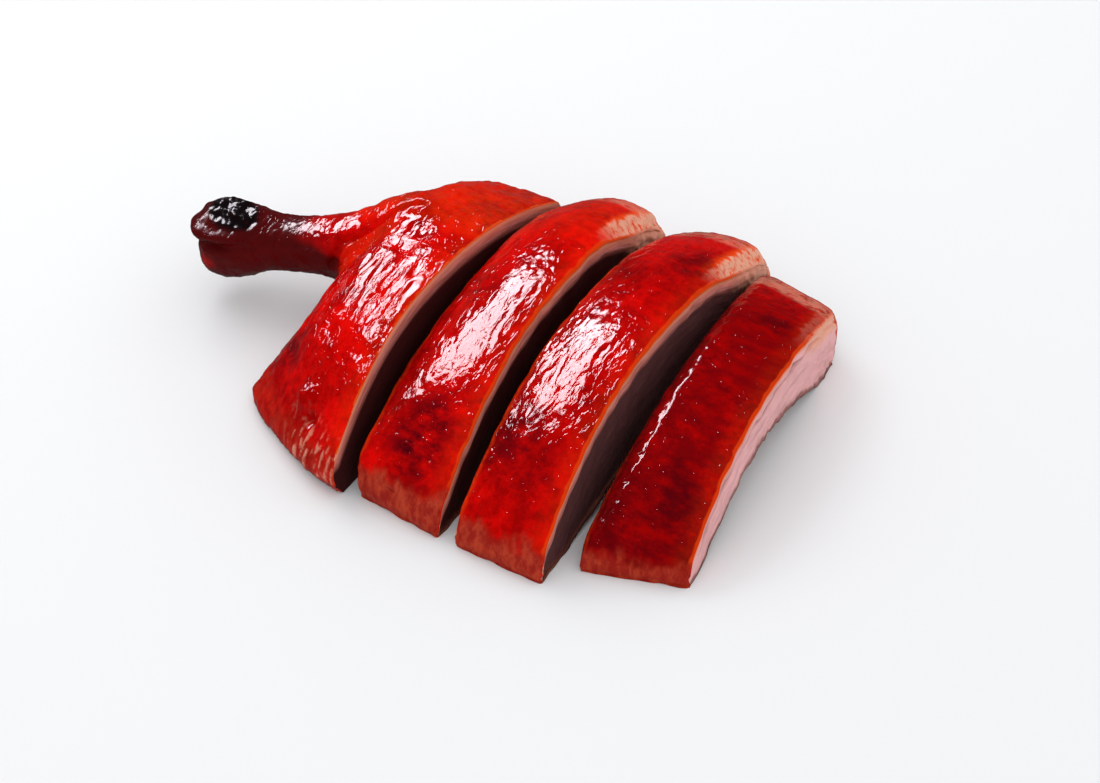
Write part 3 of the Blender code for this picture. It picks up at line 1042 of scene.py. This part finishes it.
# --------------------------------------------------------------------------------------------------
# The leg slice: the rest of the thigh with the calf and the bare shank, one piece of meat on its bone.
# The skin is drawn over the calf and shrank back in the oven, so the shank's end stands out of it, dark and
# charred. Thigh and shank are fused into one body, and folds, dimples and knuckle are then pressed into it.

LEG_CUT_X = -25.8
LEG_SECTIONS = (
    (0.0, (-62.6, 50.0, 3.0, 15.0, 38.5, 0.46, 22.0, 3.0)),
    (12.0, (-60.5, 49.0, 2.0, 10.0, 39.4, 0.50, 22.5, 3.0)),
    (24.0, (-56.0, 43.5, 1.0, 7.5, 38.0, 0.56, 24.0, 2.5)),
    (34.0, (-51.0, 32.0, 0.8, 6.0, 28.0, 0.60, 18.0, 2.0)),
    (40.0, (-47.0, 12.0, 0.5, 5.0, 15.0, 0.62, 9.0, 1.0)),
    (43.5, (-43.0, -3.0, 0.3, 3.0, 5.0, 0.62, 3.0, 0.5)),
)
SHANK_START = np.array((-107.6, -12.3, 18.8))
SHANK_END = np.array((-37.0, 15.5, 23.0))
# Along the shank, half height above its line, half height below it, half width.
SHANK_SECTIONS = (
    (0.0, (6.0, 9.5, 6.0)),
    (2.5, (9.6, 12.0, 8.4)),
    (7.0, (12.2, 12.6, 9.8)),
    (13.0, (12.0, 11.6, 9.8)),
    (21.0, (8.4, 9.4, 8.8)),
    (30.0, (7.0, 9.0, 8.2)),
    (38.0, (7.8, 10.4, 8.8)),
    (46.0, (10.2, 12.0, 11.6)),
    (54.0, (13.6, 13.0, 15.0)),
    (64.0, (16.2, 13.0, 17.0)),
    (74.0, (14.0, 12.6, 15.0)),
)
GROOVE_DEPTH = 1.6
GROOVE_HALF_ANGLE = 0.35
GROOVE_REACH = 9.0
FUSED_VOXEL = 0.55


def between(sections, at):
    """Section numbers at these distances, on a smooth curve through the given sections."""
    places = np.array([place for place, _ in sections])
    rows = np.array([row for _, row in sections])
    last = len(sections) - 1
    k = np.clip(np.searchsorted(places, at, side="right") - 1, 0, last - 1)
    share = ((at - places[k]) / (places[k + 1] - places[k]))[:, None]
    a, b, c, d = (rows[np.clip(k + step, 0, last)] for step in (-1, 0, 1, 2))
    straight = (c - a) * share
    bend = (2.0 * a - 5.0 * b + 4.0 * c - d) * share**2
    twist = (3.0 * b - a - 3.0 * c + d) * share**3
    return 0.5 * (2.0 * b + straight + bend + twist)


def leg_body_mesh():
    """The thigh's meat as a shaped block, from its cut to the low edge of its skin."""
    mesh, unit, _ = block("leg_body", (40, 110, 30))
    reach = LEG_SECTIONS[-1][0]
    at = unit[:, 0] * reach
    section = between(LEG_SECTIONS, at)
    share = unit[:, 1]
    rise = unit[:, 2]
    low = underside_height(section, share)
    high = skin_height(section, share)
    bulging = np.sin(math.pi * rise)
    y = section[:, NEAR] + (section[:, FAR] - section[:, NEAR]) * share
    y -= section[:, BULGE] * bulging * ramp(share, *NEAR_END)
    y += FAR_BULGE * bulging * ramp(share, *FAR_END)
    z = low + (high - low) * rise
    x = LEG_CUT_X - at - z * KNIFE_LEAN
    write_points(mesh, np.stack((x, y, z), axis=1))
    return mesh


def shank_axes():
    along = SHANK_END - SHANK_START
    along = along / np.linalg.norm(along)
    side = np.cross(along, (0.0, 0.0, 1.0))
    side = side / np.linalg.norm(side)
    return along, side, np.cross(side, along)


def shank_mesh():
    """The shank and calf as a shaped rod, with the groove between the knuckle's two rounded ends."""
    bm = bmesh.new()
    bmesh.ops.create_cone(bm, cap_ends=True, segments=64, radius1=1.0, radius2=1.0, depth=1.0)
    running = [e for e in bm.edges if abs(e.verts[1].co.z - e.verts[0].co.z) > 0.5]
    bmesh.ops.subdivide_edges(bm, edges=running, cuts=120)
    mesh = bpy.data.meshes.new("shank")
    bm.to_mesh(mesh)
    bm.free()
    unit = read_points(mesh)
    at = (unit[:, 2] + 0.5) * SHANK_SECTIONS[-1][0]
    sizes = between(SHANK_SECTIONS, at)
    angle = np.arctan2(unit[:, 1], unit[:, 0])
    tall = np.where(np.sin(angle) > 0.0, sizes[:, 0], sizes[:, 1]) * np.sin(angle)
    off_level = np.sin(angle) / GROOVE_HALF_ANGLE
    pinch = GROOVE_DEPTH * np.clip(1.0 - at / GROOVE_REACH, 0.0, 1.0) * np.exp(-off_level**2)
    wide = np.cos(angle) * (sizes[:, 2] - pinch)
    along, side, up = shank_axes()
    write_points(mesh, SHANK_START + np.outer(at, along) + np.outer(wide, side) + np.outer(tall, up))
    return mesh


def fused(meshes):
    """Several closed meshes made one even skin of small faces, a little smoothed."""
    bm = bmesh.new()
    for mesh in meshes:
        bm.from_mesh(mesh)
    bmesh.ops.recalc_face_normals(bm, faces=bm.faces)
    joined = bpy.data.meshes.new("laid_up")
    bm.to_mesh(joined)
    bm.free()
    helper = bpy.data.objects.new("laid_up", joined)
    bpy.context.scene.collection.objects.link(helper)
    remesh = helper.modifiers.new("fuse", "REMESH")
    remesh.mode = "VOXEL"
    remesh.voxel_size = FUSED_VOXEL
    smooth = helper.modifiers.new("settle", "SMOOTH")
    smooth.iterations = 4
    graph = bpy.context.evaluated_depsgraph_get()
    result = bpy.data.meshes.new_from_object(helper.evaluated_get(graph))
    bpy.data.objects.remove(helper)
    return result


# Places on the leg slice. The knuckle's char and how far it reaches each way, and its paler lower lobe.
CHAR_SPOT = np.array((-96.6, -10.0, 31.0))
CHAR_REACH = np.array((8.5, 7.5, 5.0))
LOBE_SPOT = (-102.2, -18.1, 15.4)
# Browned patches on the top and low on the near side.
BURNT_SPOT = (-42.6, 2.5, 39.2)
DARK_SPOT = (-57.7, -39.0, 18.9)
# The crease where the drawn-back skin meets the shank and calf, and how far its raised lip lies beside it.
CUFF_CREASE = (
    (-66.8, -9.5, 17.0), (-66.5, -6.5, 22.0), (-65.9, -3.0, 28.0),
    (-58.4, 3.7, 34.3), (-53.4, 8.9, 37.3), (-48.0, 12.0, 38.5),
)
CUFF_LIP_STEP = np.array((2.6, -1.6, 0.6))
# The points of the crease that the glowing sleeve of skin follows.
SLEEVE_POINTS = 4
# The dimple over the joint, and the swollen spot low on the skin with the hollow at its foot.
DIMPLE = (-41.9, -6.0, 38.5)
SWOLLEN_SPOT = (-44.1, -51.0, 17.5)
SWOLLEN_SPOT_FOOT = (-40.2, -55.5, 14.5)


def near_spot(points, spot, radius):
    """1 at a spot, falling smoothly to 0 at this radius."""
    away = np.linalg.norm(points - np.array(spot), axis=1)
    return ramp(away, radius, 0.0)


def near_line(points, line, radius):
    """1 on a bent line, falling smoothly to 0 at this radius."""
    closest = np.full(len(points), np.inf)
    for start, end in zip(line, line[1:]):
        start = np.array(start)
        run = np.array(end) - start
        share = np.clip((points - start) @ run / (run @ run), 0.0, 1.0)
        away = np.linalg.norm(points - start - np.outer(share, run), axis=1)
        closest = np.minimum(closest, away)
    return ramp(closest, radius, 0.0)


def leg_places(points):
    """Where each point of the leg slice lies: in the thigh's sections, along the shank and near its marks."""
    x, y, z = points.T
    from_cut = LEG_CUT_X - x - z * KNIFE_LEAN
    section = between(LEG_SECTIONS, np.clip(from_cut, 0.0, LEG_SECTIONS[-1][0]))
    share = (y - section[:, NEAR]) / (section[:, FAR] - section[:, NEAR])
    along, side, up = shank_axes()
    at = (points - SHANK_START) @ along
    off = points - SHANK_START - np.outer(at, along)
    sideways = off @ side
    height = off @ up
    sizes = between(SHANK_SECTIONS, np.clip(at, 0.0, SHANK_SECTIONS[-1][0]))
    out_from_line = np.hypot(sideways / sizes[:, 2], height / np.maximum(sizes[:, 0], sizes[:, 1]))
    crust = pattern("crust", points) + 0.3 * pattern("fine_crust", points)
    from_char = np.linalg.norm((points - CHAR_SPOT) / CHAR_REACH, axis=1)
    return SimpleNamespace(
        x=x, y=y, z=z, from_cut=from_cut, at=at, sideways=sideways, height=height, crust=crust,
        depth=skin_height(section, np.clip(share, 0.0, 1.0)) - z,
        on_shank=ramp(out_from_line, 1.25, 1.1) * ramp(at, 47.0, 40.0),
        on_cut=ramp(from_cut, 0.7, 0.3),
        waves=pattern("leg_waves", points),
        skirt=ramp(z, 19.0, 9.0) * ramp(y, -22.0, -36.0),
        folds=pattern("skirt_folds", points) + 0.5 * pattern("fine_skirt_folds", points),
        sleeve=near_line(points - 2.0 * CUFF_LIP_STEP, CUFF_CREASE[:SLEEVE_POINTS], 8.0),
        charred=ramp(from_char + 0.10 * crust, 1.15, 0.80),
    )


def thigh_relief(points, leg):
    """Waves, wrinkles, the skirt's folds, the skin drawn back from the shank, and the joint's marks."""
    wrinkles = pattern("leg_wrinkles", points) + FINE_WRINKLES * pattern("leg_fine_wrinkles", points)
    relief = 0.45 * leg.waves + 0.13 * wrinkles * (1.0 - leg.skirt)
    relief = relief + 0.36 * leg.skirt * leg.folds - SKIN_SINK
    on_top = ramp(leg.z, 16.0, 24.0) * (1.0 - leg.on_shank)
    relief += 0.38 * on_top * pattern("top_streaks", points) * (1.0 - leg.sleeve)
    relief -= 2.1 * near_line(points, CUFF_CREASE, 2.3)
    relief += 1.2 * near_line(points - CUFF_LIP_STEP, CUFF_CREASE, 2.6)
    relief -= 1.3 * near_spot(points, DIMPLE, 4.5)
    valley = 2.2 * ramp(leg.from_cut, 3.0, 19.0) * ramp(leg.y, 14.0, -2.0) * ramp(leg.y, -44.0, -22.0)
    relief -= valley * (1.0 - leg.on_shank)
    relief += 2.6 * near_spot(points, SWOLLEN_SPOT, 5.5) - 1.8 * near_spot(points, SWOLLEN_SPOT_FOOT, 3.5)
    return relief + 0.7 * pattern("swollen", points) * near_spot(points, SWOLLEN_SPOT, 9.0)


def with_shank_relief(relief, points, leg):
    """Adds the shank's tendon groove, its knuckle's lip, crust and rim, and its grain."""
    tendon = np.exp(-(((leg.height - 2.9 - 0.035 * leg.at) / 1.3) ** 2)) * ramp(leg.sideways, 0.0, 2.0)
    relief -= (0.7 + 1.9 * ramp(leg.at, 15.0, 5.0)) * leg.on_shank * tendon
    lip = np.exp(-(((leg.height - 6.4) / 1.6) ** 2)) * ramp(leg.sideways, -4.0, 2.0)
    lip *= ramp(leg.at, 17.0, 9.0)
    relief += 1.9 * leg.on_shank * lip
    relief = relief * (1.0 - leg.on_cut) + leg.on_cut * (0.05 * pattern("leg_cut", points) - SKIN_SINK)
    relief += leg.charred * (1.1 * leg.crust - 0.1)
    relief += 0.7 * np.exp(-(((leg.at - 2.6) / 1.6) ** 2)) * ramp(leg.height, -1.0, 3.0) * leg.on_shank
    lumps = 0.35 * pattern("shank_lumps", points) + 0.13 * pattern("shank_ripples", points)
    relief += leg.on_shank * lumps
    return relief + 0.16 * leg.on_shank * ramp(leg.at, 18.0, 26.0) * pattern("shank_grit", points)


def leg_glow(points, leg):
    """How orange the skin is: along the cut, over the far top and on the sleeve round the shank."""
    rim = leg.from_cut + 0.7 * pattern("right_glow", points)
    glow = np.maximum(0.7 * ramp(rim, 1.0, 0.3), 0.12 * ramp(leg.from_cut, 8.0, 1.0))
    glow = np.maximum(glow, 0.30 * ramp(leg.y, 2.0, 14.0) * ramp(leg.z, 12.0, 28.0))
    return np.maximum(glow, 0.26 * leg.sleeve)


def leg_browned(points, normals, leg):
    """How browned the skin is: in two patches, low on the far side, on the shank, and underneath."""
    browned = 0.85 * near_spot(points, BURNT_SPOT, 8.0) + 0.9 * near_spot(points, DARK_SPOT, 15.0)
    browned = np.maximum(browned, 0.8 * ramp(leg.y, 2.0, 22.0) * ramp(leg.z, 30.0, 8.0))
    return np.where((normals[:, 2] < -0.6) & (leg.z < 6.0), 1.0, browned + 0.4 * leg.on_shank)


def leg_maroon(points, leg):
    """How dark the shank's bare skin is, fading towards the calf and paler on the knuckle's lower lobe."""
    fade_start = 28.0 + 11.0 * ramp(leg.height, 6.0, 0.0)
    fade = ramp((leg.at + 3.0 * leg.waves - fade_start) / 10.0, 0.0, 1.0)
    return leg.on_shank * (1.0 - 0.6 * near_spot(points, LOBE_SPOT, 4.5)) * (0.95 - 0.85 * fade)


def leg_fat(leg):
    """Pale fat between the skirt's folds."""
    fat = (1.0 - leg.on_cut) * 0.6 * leg.skirt * ramp(leg.folds, 0.1, 0.55)
    return fat * ramp(leg.z, 2.0, 5.0) * ramp(leg.x, -51.0, -41.0)


def leg_meat_faces(mesh):
    """The faces of the cut and of the underside. Read once the mesh is in metres."""
    centres = np.empty(len(mesh.polygons) * 3, np.float32)
    mesh.polygons.foreach_get("center", centres)
    centres = centres.reshape(-1, 3) / MM - DRAWING_SHIFT
    looks = np.empty(len(mesh.polygons) * 3, np.float32)
    mesh.polygons.foreach_get("normal", looks)
    looks = looks.reshape(-1, 3)
    in_cut = LEG_CUT_X - centres[:, 0] - centres[:, 2] * KNIFE_LEAN < 0.9
    return (in_cut & (looks[:, 0] > 0.6)) | ((looks[:, 2] < -0.6) & (centres[:, 2] < 6.0))


def make_leg_slice():
    mesh = fused((leg_body_mesh(), shank_mesh()))
    points = read_points(mesh)
    normals = normals_of(mesh)
    leg = leg_places(points)
    relief = with_shank_relief(thigh_relief(points, leg), points, leg)
    final = points + normals * relief[:, None]
    final[:, 2] = np.maximum(final[:, 2], 0.0)
    write_points(mesh, (final + DRAWING_SHIFT) * MM)

    count = len(points)
    store(mesh, "edge_glow", leg_glow(points, leg))
    store(mesh, "dull", ramp(leg.z, 13.0, 9.0) * ramp(leg.y, -30.0, -44.0) * 0.3)
    store(mesh, "deepened", 0.6 * leg.skirt)
    store(mesh, "lively", 0.9 * (1.0 - 0.5 * leg.skirt) * (1.0 - leg.charred))
    store(mesh, "browned", leg_browned(points, normals, leg))
    store(mesh, "fat", leg_fat(leg))
    store(mesh, "seam", np.zeros(count))
    store(mesh, "maroon", leg_maroon(points, leg))
    store(mesh, "char", leg.charred)
    store(mesh, "skin_depth", leg.depth)
    store(mesh, "pale", np.zeros(count))
    store_grain(mesh, columns(leg.x, leg.y, leg.depth))
    finish_piece("leg_slice", mesh, leg_meat_faces(mesh))


make_leg_slice()
